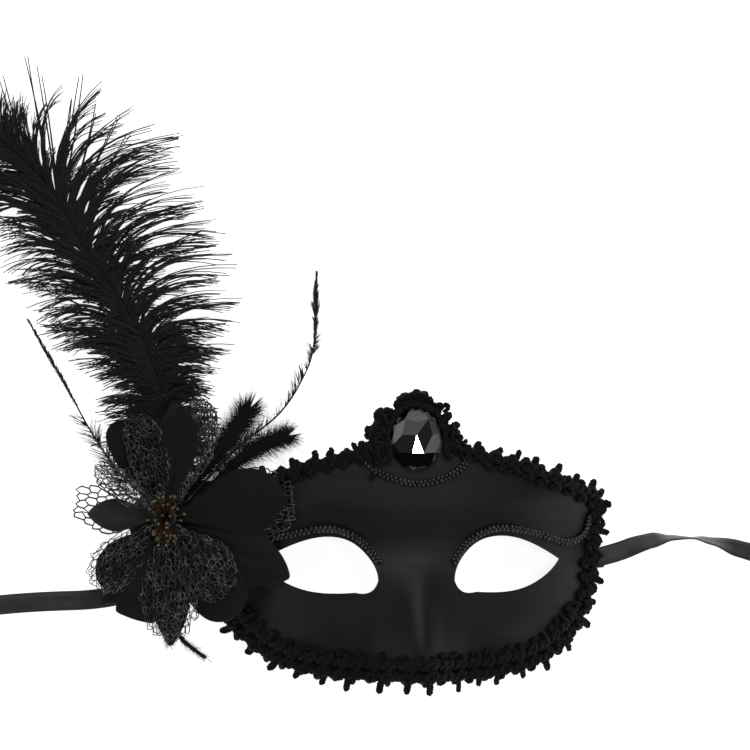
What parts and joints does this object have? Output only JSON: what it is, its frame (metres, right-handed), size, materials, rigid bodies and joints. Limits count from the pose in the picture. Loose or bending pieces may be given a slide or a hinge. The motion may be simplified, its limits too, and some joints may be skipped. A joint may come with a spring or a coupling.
{
  "type": "venetian half mask",
  "caption": "Black moulded half mask with braided edge, crest stone, beaded eye cords, cloth flower, feather plume and ribbon ties, worn over the eyes.",
  "frame": {"origin": "on the plane the mask lies on, under the bridge of the nose and level with the eyes", "axes": "+Z out of the face, +Y towards the crest, +X to the right of somebody looking at the front"},
  "size_m": [0.5548, 0.3472, 0.0578],
  "materials": {
    "shell_plastic": "satin",
    "gimp_braid": "matte",
    "beaded_cord": "gloss",
    "smoky_stone": "polished",
    "petal_satin": "satin",
    "glitter_net": "satin",
    "felt": "matte",
    "stamen_gold": "satin",
    "ostrich_barbs": "matte",
    "down": "matte",
    "quill": "satin",
    "ribbon_satin": "satin"
  },
  "bodies": {
    "root": {"mask_shell": "shell_plastic", "gem": "smoky_stone", "flower_backing": "felt", "flower_stem": "felt", "stamens": "stamen_gold", "plume_quill": "quill", "plume_vane": "ostrich_barbs", "left_spray_quill": "quill", "left_spray_barbs": "ostrich_barbs", "right_spray_quill": "quill", "right_spray_barbs": "ostrich_barbs", "marabou_feather_upper": "down", "marabou_feather_right": "down", "lower_feather_long": "down", "lower_feather_short": "down", "ribbon_tab_left": "felt", "ribbon_tab_right": "felt", "satin_petal_bottom_middle": "petal_satin", "satin_petal_upper_left": "petal_satin", "satin_petal_lower_outer": "petal_satin", "satin_petal_lower_right": "petal_satin", "satin_petal_left": "petal_satin", "satin_petal_right": "petal_satin", "satin_petal_lower_inner": "petal_satin", "satin_petal_top": "petal_satin", "satin_petal_bottom_left": "petal_satin", "net_petal_left": "glitter_net", "net_petal_top": "glitter_net", "net_petal_right": "glitter_net", "net_petal_lower_outer": "glitter_net", "net_petal_upper_inner": "glitter_net", "net_petal_lower_right": "glitter_net", "net_petal_upper_outer": "glitter_net", "net_petal_bottom": "glitter_net", "edge_braid_upper_left": "gimp_braid", "edge_braid_upper_right": "gimp_braid", "edge_braid_left_side": "gimp_braid", "edge_braid_right_side": "gimp_braid", "edge_braid_lower": "gimp_braid", "crest_braid": "gimp_braid", "gem_cord": "beaded_cord", "eye_cord_left": "beaded_cord", "eye_cord_right": "beaded_cord", "ribbon_left": "ribbon_satin", "ribbon_left_coil": "ribbon_satin", "ribbon_right": "ribbon_satin", "ribbon_right_coil": "ribbon_satin"}
  },
  "joints": []
}
